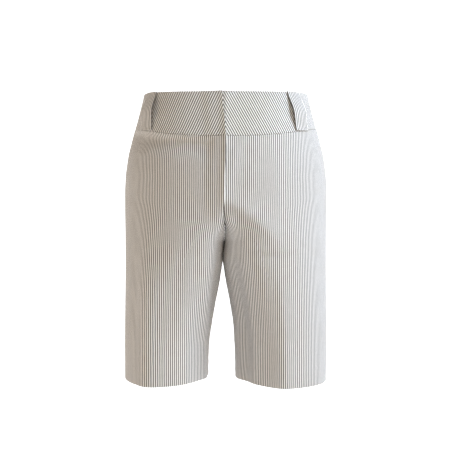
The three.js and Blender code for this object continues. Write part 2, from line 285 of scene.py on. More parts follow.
def oval(side, half, level):
    """One leg's section at a level, as distances outwards from the centre plane"""
    outer = BODY("outer", level) - side * CENTRE("x", level)
    apex = BODY(half + "_x", level)
    side_y = BODY("side_y", level)
    return {
        "apex": apex,
        "outer": outer - apex,
        "inner": apex - INNER(half, level),
        "corner": BODY("corner", level),
        "side_y": side_y,
        "depth": BODY(half + "_y", level) - side_y,
    }


def oval_point(side, half, turn, level):
    """turn runs from 0 at the outseam through a quarter turn at the apex to a half turn at the inseam"""
    o = oval(side, half, level)
    across, away = np.cos(turn), np.abs(np.sin(turn))
    reach = np.where(across > 0, o["outer"], o["inner"])
    power = np.where(across > 0, ROUNDNESS, o["corner"])
    out = o["apex"] + np.sign(across) * reach * np.abs(across) ** (2 / power)
    x = CENTRE("x", level) + side * out
    y = o["side_y"] + o["depth"] * away ** (2 / power)
    return np.stack(np.broadcast_arrays(x, y, level), axis=-1)


def field_at(side, half, points):
    o = oval(side, half, points[..., 2])
    out = side * (points[..., 0] - CENTRE("x", points[..., 2])) - o["apex"]
    reach = np.where(out > 0, o["outer"], o["inner"])
    power = np.where(out > 0, ROUNDNESS, o["corner"])
    away = np.abs((points[..., 1] - o["side_y"]) / o["depth"])
    return (np.abs(out / reach) ** power + away**power) ** (1 / power)


def way_out(side, half, points):
    """The directions that lead straight out of the surface at these points"""
    step = 0.02
    gradient = np.stack(
        [
            field_at(side, half, points + step * axis)
            - field_at(side, half, points - step * axis)
            for axis in np.eye(3)
        ],
        axis=-1,
    )
    return gradient / np.linalg.norm(gradient, axis=-1, keepdims=True)


def turn_at(side, half, level, distance):
    """The turn at which the oval meets the plane at this distance outwards from the centre plane"""
    o = oval(side, half, level)
    share = np.clip((o["apex"] - distance) / o["inner"], -1, 1)
    return math.pi - np.arccos(np.sign(share) * np.abs(share) ** (o["corner"] / 2))


def along(points, axis=0):
    """Lengths along lines of points, from nothing at their first one"""
    steps = np.linalg.norm(np.diff(points, axis=axis), axis=-1)
    pad = [(0, 0)] * steps.ndim
    pad[axis] = (1, 0)
    return np.pad(np.cumsum(steps, axis=axis), pad)


def edge_lines(whole, count, first, last):
    """Places along a line of this length, crowded at an end where it is rounded off"""
    ends = [EDGE_LINES if first else np.zeros(1), EDGE_LINES if last else np.zeros(1)]
    middle = np.linspace(ends[0][-1], whole - ends[1][-1], count + 2)[1:-1]
    return np.concatenate([ends[0], middle, whole - ends[1][::-1]])


# Meshes


def rounded(distance, radius):
    """How far a rounded edge has dropped at a distance from it"""
    left = np.clip(radius - distance, 0, radius)
    return radius - np.sqrt(radius**2 - left**2)


def shell(name, outer, inner, uv):
    """One closed mesh between an outer and an inner grid of points in millimetres"""
    rows, columns = outer.shape[:2]
    count = rows * columns
    grid = np.arange(count).reshape(rows, columns)
    a, b = grid[:-1, :-1].ravel(), grid[1:, :-1].ravel()
    c, d = grid[1:, 1:].ravel(), grid[:-1, 1:].ravel()
    faces = [np.stack([a, b, c, d], 1), np.stack([a, d, c, b], 1) + count]
    for line in (grid[0, ::-1], grid[:, -1][::-1], grid[-1], grid[:, 0]):
        i, j = line[:-1], line[1:]
        faces.append(np.stack([j, i, i + count, j + count], 1))
    faces = np.concatenate(faces)
    points = np.concatenate([outer.reshape(-1, 3), inner.reshape(-1, 3)]) * MM
    first, second, third, fourth = (points[faces[:, k]] for k in range(4))
    normals = np.cross(third - first, fourth - second)
    if (normals * (first + third)).sum() < 0:
        faces = faces[:, ::-1]
    mesh = bpy.data.meshes.new(name)
    mesh.from_pydata(points.tolist(), [], faces.tolist())
    layer = mesh.uv_layers.new(name="cloth")
    flat = np.concatenate([uv.reshape(-1, 2)] * 2) * MM
    layer.data.foreach_set("uv", flat[faces.ravel()].ravel().astype(np.float32))
    mesh.shade_smooth()
    mesh.validate()
    piece = bpy.data.objects.new(name, mesh)
    bpy.context.scene.collection.objects.link(piece)
    return piece


def to_line(points, line):
    """Each point's distance from a line of points, and how far along it the nearest place is, as a share"""
    lengths = along(line)
    nearest = np.full(points.shape[:-1], np.inf)
    share = np.zeros(points.shape[:-1])
    for start, end, before, after in zip(line, line[1:], lengths, lengths[1:]):
        step = end - start
        t = np.clip(((points - start) @ step) / (step @ step), 0, 1)
        distance = np.linalg.norm(points - start - t[..., None] * step, axis=-1)
        closer = distance < nearest
        nearest = np.where(closer, distance, nearest)
        share = np.where(closer, blend(before, after, t) / lengths[-1], share)
    return nearest, share


# Soft folds: the panel, points as turn in degrees and level, half width and height in millimetres.
# A height below zero is a trough.
FOLDS = {
    ("front", RIGHT): [
        ([(48, -205), (56, -288), (63, -351), (68, -426), (76, -640)], 20, 6.0),
        ([(36, -230), (42, -300), (50, -400), (54, -600)], 10, -1.6),
        ([(108, -225), (124, -288), (137, -352), (153, -422), (158, -640)], 16, 4.6),
        ([(60, -380), (68, -345), (82, -274), (98, -214)], 20, 2.2),
        ([(66, -168), (84, -205), (112, -236)], 9, -0.6),
        ([(38, -250), (72, -262), (128, -262)], 10, 0.4),
        ([(10, -120), (16, -190), (12, -262)], 15, -0.8),
    ],
    ("front", LEFT): [
        ([(96, -176), (88, -198), (82, -216), (76, -258)], 15, 4.0),
        ([(108, -238), (94, -287), (102, -351), (100, -440)], 14, 2.6),
        ([(83, -300), (83, -337), (86, -426), (84, -640)], 14, 3.8),
        ([(128, -254), (88, -267), (56, -270)], 5, 0.9),
        ([(104, -276), (84, -280), (60, -276)], 5, -0.9),
        ([(78, -66), (84, -100), (86, -127), (92, -196)], 6, 0.9),
        ([(98, -186), (108, -232), (106, -276), (112, -386), (114, -570)], 22, -7),
        ([(124, -236), (134, -286), (142, -386), (142, -560)], 18, -9),
        ([(14, -130), (20, -210), (15, -290)], 17, -0.7),
        ([(34, -350), (30, -430), (34, -640)], 14, 0.8),
    ],
    ("back", RIGHT): [
        ([(40, -196), (84, -232), (128, -248)], 10, -1.6),
        ([(28, -228), (70, -262), (122, -270)], 12, 1.4),
        ([(52, -262), (92, -284), (140, -284)], 9, -1.3),
        ([(46, -300), (50, -390), (44, -600)], 16, 2.4),
        ([(84, -320), (80, -410), (86, -600)], 20, -1.6),
        ([(120, -330), (114, -400), (118, -600)], 13, 1.6),
    ],
    ("back", LEFT): [
        ([(44, -204), (88, -236), (130, -252)], 9, -1.4),
        ([(24, -236), (66, -268), (118, -276)], 13, 1.5),
        ([(58, -272), (96, -290), (142, -292)], 10, -1.2),
        ([(52, -310), (46, -400), (52, -600)], 18, 2.2),
        ([(90, -300), (86, -380), (92, -600)], 17, -1.5),
        ([(126, -340), (120, -420), (122, -600)], 12, 1.4),
    ],
}


def folds(side, half, points, strength):
    """How high all of a panel's folds lift these points"""
    lift = np.zeros(points.shape[:-1])
    for places, width, height in FOLDS[half, side]:
        turns, levels = np.array(places, float).T
        fine = np.linspace(0, len(turns) - 1, FOLD_STEPS)
        turns = np.interp(fine, range(len(turns)), np.radians(turns))
        levels = np.interp(fine, range(len(levels)), levels)
        distance, share = to_line(points, oval_point(side, half, turns, levels))
        fade = np.sin(math.pi * np.clip(share, 0.02, 0.98)) ** 0.7
        lift += height * fade * np.exp(-((distance / width) ** 2))
    return strength * lift


def pucker(distance, length, seed):
    """The slight unevenness that stitching draws up beside a seam"""
    wave = (
        np.sin(length / 2.6 + seed)
        + 0.7 * np.sin(length / 4.3 + 2.1 * seed)
        + 0.5 * np.sin(length / 7.9 + 3.7 * seed)
    )
    return wave * np.exp(-distance / 4.5)


# Leg panels


def fly_width(level):
    return 1 - below(level, FLY["narrow_from"], FLY["narrow_to"])


def fly_height(level):
    return 1 - below(level, FLY["narrow_to"], FLY["end"])


def centre_edge(side, half, level):
    """Where a panel ends at its centre seam, as a distance outwards from the centre plane"""
    if half == "back":
        return np.full_like(level, SEAM_GAP / 2)
    lapped = -FLY["reach"] if side == RIGHT else -FLY["under"]
    apart = SEAM_GAP / 2 + (FLY["ease"] * fly_height(level) if side == RIGHT else 0)
    return blend(apart, lapped, fly_width(level))


def centre_seam(side, half, shares):
    """Levels and turns at these shares of the way from the waistband down to the fork"""
    top = BAND_SEAM[half] - SEAM_GAP
    levels = FORK_LEVEL + (top - FORK_LEVEL) * np.linspace(1, 0, SEAM_STEPS) ** 2
    turns = turn_at(side, half, levels, centre_edge(side, half, levels))
    lengths = along(oval_point(side, half, turns, levels))
    want = shares * lengths[-1]
    return np.interp(want, lengths, levels), np.interp(want, lengths, turns)


def panel_rows(side, half, hem_depth):
    """The rows of a panel: levels at both ends, last turn, span, dip and thickness, one array each"""
    fold_share = 1 - hem_depth / (FORK_LEVEL - HEM["outer"])
    step_share = fold_share + HEM_STEP / (FORK_LEVEL - HEM["outer"])
    seam_length = BAND_SEAM["side"] - FORK_LEVEL
    down = edge_lines(seam_length, UPPER_ROWS, True, False) / seam_length
    inner, turn = centre_seam(side, half, down)
    outer = blend(BAND_SEAM["side"] - SEAM_GAP, FORK_LEVEL, down)
    span = blend(math.pi / 2, turn, smooth(down, 0, 0.5))
    upper = [outer, inner, turn, span, 0 * down, np.full_like(down, CLOTH)]
    leg_length = FORK_LEVEL - HEM["outer"]
    hem = leg_length * (1 - step_share)
    share = np.concatenate(
        [
            np.linspace(0, fold_share, LOWER_ROWS)[1:],
            step_share + edge_lines(hem, HEM_ROWS, False, True) / leg_length,
        ]
    )
    drop = LEFT_HEM_DROP if side == LEFT else 0
    middle = (HEM["outer"] + HEM["inner"]) / 2
    lower = [
        blend(FORK_LEVEL, HEM["outer"] - drop, share),
        blend(FORK_LEVEL, HEM["inner"] - drop, share),
        np.full_like(share, math.pi),
        np.full_like(share, math.pi),
        (HEM[half] - middle) * smooth(share, 0.3, fold_share),
        np.where(share < step_share - 1e-6, CLOTH, HEM_CLOTH),
    ]
    return [np.concatenate(pair) for pair in zip(upper, lower)]


def leg_panel(side, half, cloth):
    """One front or back panel of a leg, from the waistband's seam to the hem"""
    name = f"cloth_leg_{half}_{SIDE_NAMES[side]}"
    rows = list(zip(*panel_rows(side, half, cloth.hem_depth / MM)))
    points, across, whole, thickness, to_side = [], [], [], [], []
    for outer, inner, end, span, dip, thick in rows:
        turns = np.linspace(0, end, CURVE_STEPS + 1)
        levels = blend(outer, inner, crossed(turns, span)) + dip * np.sin(turns) ** 2
        path = oval_point(side, half, turns, levels)
        lengths = along(path)
        places = edge_lines(lengths[-1], COLUMNS, True, True)
        at = np.interp(places, lengths, turns)
        level = blend(outer, inner, crossed(at, span)) + dip * np.sin(at) ** 2
        points.append(oval_point(side, half, at, level))
        grain = np.interp(-GRAIN_X[half], -side * path[:, 0], lengths)
        across.append(places - grain)
        whole.append(np.minimum(places, lengths[-1] - places))
        to_side.append(places)
        thickness.append(thick)
    points, across, whole = np.array(points), np.array(across), np.array(whole)
    thickness, to_side = np.array(thickness)[:, None], np.array(to_side)
    out = way_out(side, half, points)
    level = points[..., 2]
    down = along(points, axis=0)
    to_hem = down[-1] - down

    lift = folds(side, half, points, cloth.fold_strength)
    sides = PUCKERS["leg_sides"] * pucker(whole, down, 1.3 + side)
    lift += cloth.seam_pucker * (sides + PUCKERS["leg_top"] * pucker(down, across, 2.2 - side))
    lift -= hem_line(to_hem, across, cloth.hem_depth / MM)
    phase = side + (half == "back")
    wave = np.exp(-to_hem / HEM_WAVE["reach"]) * np.sin(across / HEM_WAVE["length"] + phase)
    lift += HEM_WAVE["height"] * wave
    if half == "front":
        lift += fly_lift(side, points) - hollow(side, down, to_side, points)
    points += crotch_crease(side, half, points)
    radius = cloth.edge_radius / MM
    sharp = SHARP["share"] * below(level, *SHARP["start"]) * (whole < to_side)
    drop = rounded(whole, radius) * (1 - sharp)
    drop = np.maximum(drop, rounded(down + EDGE_LINES[0], radius))
    drop = np.maximum(drop, rounded(to_hem, min(radius, HEM_CLOTH / 2)))
    hem_drop = rounded(to_hem, HEM_CLOTH / 2 - EDGE_FLAT["hem"])
    outer = points + (lift - drop)[..., None] * out
    inner = points + (lift - thickness + hem_drop)[..., None] * out
    uv = np.stack([across, -level], axis=-1)
    piece = shell(name, outer, inner, uv)
    return finish_piece(piece, name[6:])


def fly_lift(side, points):
    """The ridge along the fly, on which the wearer's right front lies over the left one"""
    x, level = points[..., 0], points[..., 2]
    lift = ridge_lift(side, points)
    if side == RIGHT:
        from_edge = CENTRE("x", level) + FLY["reach"] - x
        rise = 1 - smooth(from_edge, FLY["flat"], FLY["flat"] + FLY["ramp"])
        lift += (CLOTH + LAP_GAP) * rise * fly_height(level)
    return lift


def ridge_lift(side, points):
    """The ridge alone, as it also runs up over the waistband"""
    beside = from_middle(points)
    lifts = [
        height * (1 - np.minimum(beside / width, 1)) ** 2
        for height, width in RIDGES[side]
    ]
    return sum(lifts) * (1 - below(points[..., 2], *RIDGE_END))


def from_middle(points):
    return np.abs(points[..., 0] - CENTRE("x", points[..., 2]))


def hollow(side, down, to_side, points):
    """How far a front sinks below the waistband's seam"""
    sunk = smooth(down, 0, HOLLOW["down"])
    back_up = smooth(down, HOLLOW["down"], HOLLOW["back"])
    free = smooth(from_middle(points), *HOLLOW["fly"])
    free = free * smooth(to_side, *HOLLOW["side"])
    return HOLLOW[side] * sunk * (1 - back_up) * free


def crotch_crease(side, half, points):
    """The dark crease between the thighs, in front and behind, and the bulges beside it in front

    All of it goes straight back or forwards, so that the thighs never cross each other."""
    level, beside = points[..., 2], from_middle(points)
    top = CREASE[half]["top"]
    strength = below(level, top, top - CREASE["deepens"]) * (1 - below(level, *CREASE["end"]))
    back = CREASE[half]["back"] * strength * np.exp(-((beside / CREASE["width"]) ** 2))
    if half == "front":
        strength = below(level, *BULGE["start"]) * (1 - below(level, *BULGE["end"]))
        aside = beside / BULGE["width"]
        back -= BULGE[side] * strength * aside * np.exp(0.5 - aside**2 / 2)
    return back[..., None] * np.array([0, 1, 0])


def hem_line(to_hem, across, depth):
    """The faint dents of the blind stitches that hold the hem"""
    turns = across * 2 * math.pi / HEM_STITCH["pitch"]
    stitches = blend(HEM_STITCH["least"], 1, (1 + np.cos(turns)) / 2)
    away = (to_hem - depth) / HEM_STITCH["width"]
    return HEM_STITCH["depth"] * stitches * np.exp(-(away**2))


def finish_piece(piece, node):
    """Gives a piece its cloth, hangs it from the root and hides the solid it was cut to"""
    piece.data.materials.append(striped_cotton())
    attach(piece, "root")
    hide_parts(node)
    return piece


# Waistband


def round_level(levels, half, turn):
    """The level of one of the waistband's edges, which goes from the side's to the middle's"""
    return blend(levels["side"], levels[half], crossed(turn, math.pi / 2))


def band_lap_line(down):
    return blend(BAND_LAP["top"], BAND_LAP["bottom"], down)


def band_edge(side, half, down):
    """Where a piece of the waistband ends in the middle, as a distance outwards from the centre plane"""
    if half == "back":
        return SEAM_GAP / 2
    line = band_lap_line(down)
    return -line if side == RIGHT else line - BAND_LAP["under"]


def band_piece(side, half, cloth):
    """One quarter of the waistband, its stripes on the bias"""
    name = f"cloth_waistband_{half}_{SIDE_NAMES[side]}"
    height = BAND_TOP["side"] - BAND_SEAM["side"]
    downs = edge_lines(height, BAND_ROWS, True, True) / height
    points, near, places_all, from_centre = [], [], [], []
    for down in downs:
        level = blend(BAND_TOP[half], BAND_SEAM[half], down)
        last = turn_at(side, half, level, band_edge(side, half, down))
        turns = np.linspace(0, last, CURVE_STEPS + 1)
        path = band_path(side, half, turns, down)
        lengths = along(path)
        places = edge_lines(lengths[-1], BAND_COLUMNS, True, True)
        points.append(band_path(side, half, np.interp(places, lengths, turns), down))
        near.append(np.minimum(places, lengths[-1] - places))
        places_all.append(places)
        middle = np.interp(0, -side * path[:, 0], lengths)
        from_centre.append(middle - places)
    points, near = np.array(points), np.array(near)
    places_all, from_centre = np.array(places_all), np.array(from_centre)
    out = way_out(side, half, points)
    down = along(points, axis=0)
    up = down[-1] - down

    foot = PUCKERS["band_foot"] * pucker(up, places_all, 0.7 + side)
    lift = cloth.seam_pucker * (foot + PUCKERS["band_ends"] * pucker(near, down, 1.9 - side))
    lift += band_waves(side, half, places_all, down)
    if half == "front":
        lift += ridge_lift(side, points)
    if half == "front" and side == RIGHT:
        from_edge = band_lap_line(downs)[:, None] - points[..., 0]
        ends = BAND_LAP["flat"], BAND_LAP["flat"] + BAND_LAP["ramp"]
        lift += (BAND_CLOTH + LAP_GAP) * (1 - smooth(from_edge, *ends))
    radius = cloth.edge_radius / MM
    drop = np.maximum(rounded(near, radius), rounded(up + EDGE_LINES[0], radius))
    fold = rounded(down, BAND_CLOTH / 2 - EDGE_FLAT["band"])
    outer = points + (lift - np.maximum(drop, fold))[..., None] * out
    inner = points + (lift - BAND_CLOTH + fold)[..., None] * out
    if half == "front":
        out_along = from_centre
    else:
        out_along = BAND_FRONT_LENGTH + places_all
    bias = cloth.bias_angle
    u = out_along * math.sin(bias) - down * math.cos(bias)
    v = -out_along * math.cos(bias) - down * math.sin(bias)
    uv = np.stack([u, v], axis=-1) * (cloth.stripe_pitch / cloth.band_pitch)
    piece = shell(name, outer, inner, uv)
    return finish_piece(piece, name[6:])


def band_path(side, half, turns, down):
    """Points round the waistband at one share of the way down it"""
    top = round_level(BAND_TOP, half, turns)
    level = top + (round_level(BAND_SEAM, half, turns) - top) * down
    return oval_point(side, half, turns, level)


def band_waves(side, half, places, down):
    """The slight unevenness of a stiffened band"""
    phase = 1.7 * side + (half == "back")
    waves = np.sin(places / BAND_WAVE["length"] + phase)
    return BAND_WAVE["height"] * waves * np.sin(down / BAND_WAVE["fall"] + phase)


# Belt loops


def belt_loop(name, side, half, upper, lower, cloth):
    """A strip that bows away from the waistband between its two sewn ends"""
    upper, lower = math.radians(upper), math.radians(lower)
    top = round_level(BAND_TOP, half, upper)
    bottom = round_level(BAND_SEAM, half, lower)
    height = top - bottom
    seat = LOOP["seat"] / height
    downs = edge_lines(height, LOOP_ROWS, True, True)
    downs = (downs - downs[0]) / (downs[-1] - downs[0])
    wide = edge_lines(LOOP["width"], LOOP_COLUMNS, True, True) - LOOP["width"] / 2
    level = blend(top, bottom, downs)[:, None]
    middle = blend(upper, lower, downs)[:, None]
    step = 0.002
    here = oval_point(side, half, middle, level)
    ahead = oval_point(side, half, middle + step, level)
    speed = np.linalg.norm(ahead - here, axis=-1) / step
    turns = middle + wide[None, :] / speed
    points = oval_point(side, half, turns, level + 0 * turns)
    out = way_out(side, half, points)
    bow = np.sin(math.pi * smooth(downs, seat / 2, 1 - seat / 2)) ** LOOP["fullness"]
    bow = bow[:, None] + 0 * turns
    lift = LOOP["gap"] + LOOP_CLOTH + LOOP["stand_off"] * bow
    radius = LOOP_CLOTH / 2 - EDGE_FLAT["loop"]
    near = LOOP["width"] / 2 - np.abs(wide)[None, :] + 0 * turns
    ends = np.minimum(downs, 1 - downs)[:, None] * height + 0 * turns
    drop = np.maximum(rounded(near, radius), rounded(ends, radius))
    away = (near - LOOP_STITCH["in"]) / LOOP_STITCH["width"]
    stitched = LOOP_STITCH["depth"] * np.exp(-(away**2))
    outer = points + (lift - drop - stitched)[..., None] * out
    inner = points + (lift - LOOP_CLOTH + drop)[..., None] * out
    uv = np.stack([wide[None, :] + 0 * turns, -downs[:, None] * height + 0 * turns], -1)
    piece = shell("cloth_" + name, outer, inner, uv)
    return finish_piece(piece, name)


# Materials

# The cloth's pattern: how soft a stripe's edge is on its cosine, how far it wavers, how much the weft
# breaks it up, how much the slubs change it, and how many threads there are to a stripe's pitch
PATTERN = {"edge": 0.2, "waver": 0.6 * MM, "broken": 0.1, "slubs": 0.24, "threads": 3}


def linear(colour):
    """The linear value of an sRGB hex colour"""
    channels = [int(colour[i : i + 2], 16) / 255 for i in (1, 3, 5)]
    return [c / 12.92 if c <= 0.04045 else ((c + 0.055) / 1.055) ** 2.4 for c in channels]


def add_node(tree, kind, values=None, links=None, **settings):
    """Adds a node with its settings, the values of its own sockets and the links that come into it"""
    node = tree.nodes.new(kind)
    for name, value in settings.items():
        setattr(node, name, value)
    for socket, value in (values or {}).items():
        node.inputs[socket].default_value = value
    for socket, source in (links or {}).items():
        tree.links.new(source, node.inputs[socket])
    return node


def striped_cotton():
    """Yarn-dyed cotton shirting, plain woven, with fine dark taupe stripes on off-white"""
    name = "striped_cotton"
    if name in bpy.data.materials:
        return bpy.data.materials[name]
    cloth = bpy.context.scene.shorts_cloth
    material = bpy.data.materials.new(name)
    material.use_nodes = True
    tree = material.node_tree
    tree.nodes.clear()

    def maths(operation, first, second=None, third=None, clamp=False):
        values, links = {}, {}
        for i, value in enumerate((first, second, third)):
            if isinstance(value, bpy.types.NodeSocket):
                links[i] = value
            elif value is not None:
                values[i] = value
        return add_node(
            tree, "ShaderNodeMath", values, links, operation=operation, use_clamp=clamp
        ).outputs[0]

    flat = add_node(tree, "ShaderNodeUVMap", uv_map="cloth").outputs["UV"]
    across, along_stripe, _ = add_node(
        tree, "ShaderNodeSeparateXYZ", links={0: flat}
    ).outputs
    waver = add_node(
        tree,
        "ShaderNodeTexNoise",
        {"Scale": 45.0, "Detail": 1.0, "Roughness": 0.4},
        {"Vector": flat},
    ).outputs["Fac"]
    shifted = maths("MULTIPLY_ADD", waver, PATTERN["waver"], across)
    turns = maths("MULTIPLY", shifted, 2 * math.pi / cloth.stripe_pitch)
    wave = maths("COSINE", turns)
    edge = math.cos(math.pi * cloth.dark_share)
    stripe = add_node(
        tree,
        "ShaderNodeMapRange",
        {"From Min": edge - PATTERN["edge"], "From Max": edge + PATTERN["edge"]},
        {"Value": wave},
        interpolation_type="SMOOTHSTEP",
    ).outputs["Result"]
    # The real threads lie about 0.3 mm apart, too fine to show, so both ways are drawn far coarser.
    thread = 2 * math.pi / (cloth.stripe_pitch / PATTERN["threads"])
    warp = maths("SINE", maths("MULTIPLY", across, thread))
    weft = maths("SINE", maths("MULTIPLY", along_stripe, thread))
    weave = maths("MULTIPLY", warp, weft)
    slubs = add_node(
        tree,
        "ShaderNodeTexNoise",
        {"Scale": 900.0, "Detail": 2.0},
        {
            "Vector": add_node(
                tree,
                "ShaderNodeMapping",
                {"Scale": (1.0, 0.08, 1.0)},
                {"Vector": flat},
            ).outputs[0]
        },
    ).outputs["Fac"]
    # White weft crosses the taupe warp and breaks the dark stripe up a little.
    broken = maths("MULTIPLY_ADD", weft, -PATTERN["broken"], 1 - PATTERN["broken"])
    dark = maths("MULTIPLY", stripe, broken, clamp=True)
    worn = maths("MULTIPLY_ADD", slubs, PATTERN["slubs"], -PATTERN["slubs"] / 2)
    dark = maths("ADD", dark, worn, clamp=True)
    yarn = add_node(
        tree,
        "ShaderNodeMix",
        links={"Factor": dark},
        data_type="RGBA",
    )
    yarn.inputs[6].default_value = (*cloth.light_yarn, 1)
    yarn.inputs[7].default_value = (*cloth.dark_yarn, 1)
    height = maths("MULTIPLY_ADD", slubs, 0.5, maths("MULTIPLY", weave, 0.5))
    bump = add_node(
        tree,
        "ShaderNodeBump",
        {"Strength": 0.25, "Distance": 0.0002},
        {"Height": height},
    ).outputs["Normal"]
    # A plain cotton weave looks matt: it has hardly any shine, and its fibres a soft sheen at a slant.
    shader = add_node(
        tree,
        "ShaderNodeBsdfPrincipled",
        {
            "Roughness": 0.88,
            "Specular IOR Level": 0.25,
            "Sheen Weight": 0.18,
            "Sheen Roughness": 0.55,
        },
        {"Base Color": yarn.outputs[2], "Normal": bump},
    )
    add_node(
        tree, "ShaderNodeOutputMaterial", links={"Surface": shader.outputs["BSDF"]}
    )
    return material


def painted_sweep():
    """A matt white studio sweep, lit evenly enough to photograph as white"""
    material = bpy.data.materials.new("matt_white_sweep")
    material.use_nodes = True
    tree = material.node_tree
    tree.nodes.clear()
    stage = bpy.context.scene.shorts_stage
    noise = add_node(tree, "ShaderNodeTexNoise", {"Scale": 3.0}).outputs["Fac"]
    tone = add_node(
        tree,
        "ShaderNodeMapRange",
        {"To Min": 0.9, "To Max": 0.92},
        {"Value": noise},
    ).outputs["Result"]
    place = add_node(tree, "ShaderNodeTexCoord").outputs["Object"]
    depth = add_node(tree, "ShaderNodeSeparateXYZ", links={0: place}).outputs["Y"]
    glow = add_node(
        tree,
        "ShaderNodeMapRange",
        {"From Min": 0.2, "From Max": 1.6, "To Max": stage.sweep_glow},
        {"Value": depth},
    ).outputs["Result"]
    # Matt white emulsion paint shows no reflections and almost no grain.
    shader = add_node(
        tree,
        "ShaderNodeBsdfPrincipled",
        {
            "Roughness": 0.95,
            "Specular IOR Level": 0.1,
            "Emission Color": (1, 1, 1, 1),
        },
        {"Base Color": tone, "Emission Strength": glow},
    )
    add_node(
        tree, "ShaderNodeOutputMaterial", links={"Surface": shader.outputs["BSDF"]}
    )
    return material


# Settings


class ShortsCloth(bpy.types.PropertyGroup):
    """Sizes and colours of the cloth and its making"""

    stripe_pitch: bpy.props.FloatProperty(
        name="Stripe pitch",
        description="From one dark stripe of a leg to the next",
        default=3.5 * MM,
        unit="LENGTH",
        precision=4,
    )
    band_pitch: bpy.props.FloatProperty(
        name="Waistband stripe pitch",
        description="The same on the waistband, where the bias cut has opened it a little",
        default=3.65 * MM,
        unit="LENGTH",
        precision=4,
    )
    dark_share: bpy.props.FloatProperty(
        name="Dark share",
        description="How much of the pitch the dark stripe takes",
        default=0.45,
        subtype="FACTOR",
    )
    bias_angle: bpy.props.FloatProperty(
        name="Bias angle",
        description="Of the waistband's stripes to its length",
        default=math.radians(61),
        subtype="ANGLE",
    )
    light_yarn: bpy.props.FloatVectorProperty(
        name="Light yarn",
        description="Off-white ground",
        default=linear("#F8F4EF"),
        subtype="COLOR",
    )
    dark_yarn: bpy.props.FloatVectorProperty(
        name="Dark yarn",
        description="Dark taupe stripe",
        default=linear("#4F4842"),
        subtype="COLOR",
    )
    hem_depth: bpy.props.FloatProperty(
        name="Hem depth",
        description="Of the turned-up hem",
        default=28 * MM,
        unit="LENGTH",
    )
    edge_radius: bpy.props.FloatProperty(
        name="Edge radius",
        description="With which a panel turns in at its seams",
        default=1.2 * MM,
        unit="LENGTH",
        precision=4,
    )
    seam_pucker: bpy.props.FloatProperty(
        name="Seam pucker",
        description="Strength of the puckers beside the seams",
        default=1.0,
        subtype="FACTOR",
        soft_max=2.0,
    )
    fold_strength: bpy.props.FloatProperty(
        name="Fold strength",
        description="Height of the soft folds, as a share of their own",
        default=1.0,
        subtype="FACTOR",
        soft_max=2.0,
    )


class ShortsStage(bpy.types.PropertyGroup):
    """The studio's sizes and lights"""

    floor_level: bpy.props.FloatProperty(
        name="Floor level",
        description="Height of the floor below the waist",
        default=-0.95,
        unit="LENGTH",
    )
    camera_distance: bpy.props.FloatProperty(
        name="Camera distance",
        description="From the middle of the waist, straight in front",
        default=2.1,
        unit="LENGTH",
    )
    camera_level: bpy.props.FloatProperty(
        name="Camera level",
        description="Height of the camera in the garment's own frame",
        default=-0.226,
        unit="LENGTH",
    )
    camera_aside: bpy.props.FloatProperty(
        name="Camera aside",
        description="How far the camera stands to one side",
        default=-0.0014,
        unit="LENGTH",
        precision=4,
    )
    lens: bpy.props.FloatProperty(
        name="Lens",
        description="Focal length in millimetres",
        default=96.55,
    )
    key_power: bpy.props.FloatProperty(
        name="Key light",
        description="The cool main light, high on the right of the picture",
        default=60.0,
        unit="POWER",
    )
    fill_power: bpy.props.FloatProperty(
        name="Fill light",
        description="The warm weak light from the left of the picture",
        default=8.6,
        unit="POWER",
    )
    front_power: bpy.props.FloatProperty(
        name="Front light",
        description="The warm weak light beside the camera",
        default=8.8,
        unit="POWER",
    )
    sky: bpy.props.FloatProperty(
        name="Surroundings",
        description="Strength of the light from all round",
        default=1.0,
    )
    sweep_glow: bpy.props.FloatProperty(
        name="Sweep glow",
        description="Light that stands for the lamps on the sweep behind the shorts",
        default=1.0,
    )


# Operators


class SHORTS_OT_leg_panels(bpy.types.Operator):
    """Makes the fronts and backs of both legs"""

    bl_idname = "shorts.leg_panels"
    bl_label = "Leg panels"

    def execute(self, context):
        cloth = context.scene.shorts_cloth
        for side in (RIGHT, LEFT):
            for half in ("front", "back"):
                leg_panel(side, half, cloth)
        return {"FINISHED"}


class SHORTS_OT_waistband(bpy.types.Operator):
    """Makes the four pieces of the contoured waistband"""

    bl_idname = "shorts.waistband"
    bl_label = "Waistband"

    def execute(self, context):
        cloth = context.scene.shorts_cloth
        for side in (RIGHT, LEFT):
            for half in ("front", "back"):
                band_piece(side, half, cloth)
        return {"FINISHED"}


class SHORTS_OT_belt_loops(bpy.types.Operator):
    """Makes the three belt loops"""

    bl_idname = "shorts.belt_loops"
    bl_label = "Belt loops"

    def execute(self, context):
        for name, side, half, upper, lower in LOOPS:
            belt_loop(name, side, half, upper, lower, context.scene.shorts_cloth)
        return {"FINISHED"}


# Name, width and height, place and colour of each lamp. All are aimed at the middle of the shorts.
LAMPS = (
    ("key_light", (0.9, 1.4), (1.65, -0.70, 1.33), "#DCECFF"),
    ("fill_light", (0.9, 0.9), (-2.4, 0, -0.25), "#FFE1B5"),
    ("front_light", (0.9, 0.9), (0.42, -2.36, -0.25), "#FFECCC"),
)
AIM = (0, 0, -0.25)


def light(name, size, place, colour, power):
    """One rectangular lamp, aimed at the shorts"""
    bpy.ops.object.light_add(type="AREA", location=place)
    lamp = bpy.context.object
    lamp.name = name
    lamp.data.shape = "RECTANGLE"
    lamp.data.size, lamp.data.size_y = size
    lamp.data.energy = power
    lamp.data.color = linear(colour)
    way = Vector(AIM) - lamp.location
    lamp.rotation_euler = way.to_track_quat("-Z", "Y").to_euler()


# The sweep's sizes in metres, and the steps in its bend
SWEEP = {"width": 18, "depth": 14, "height": 7, "bend": 2.5, "steps": 16}


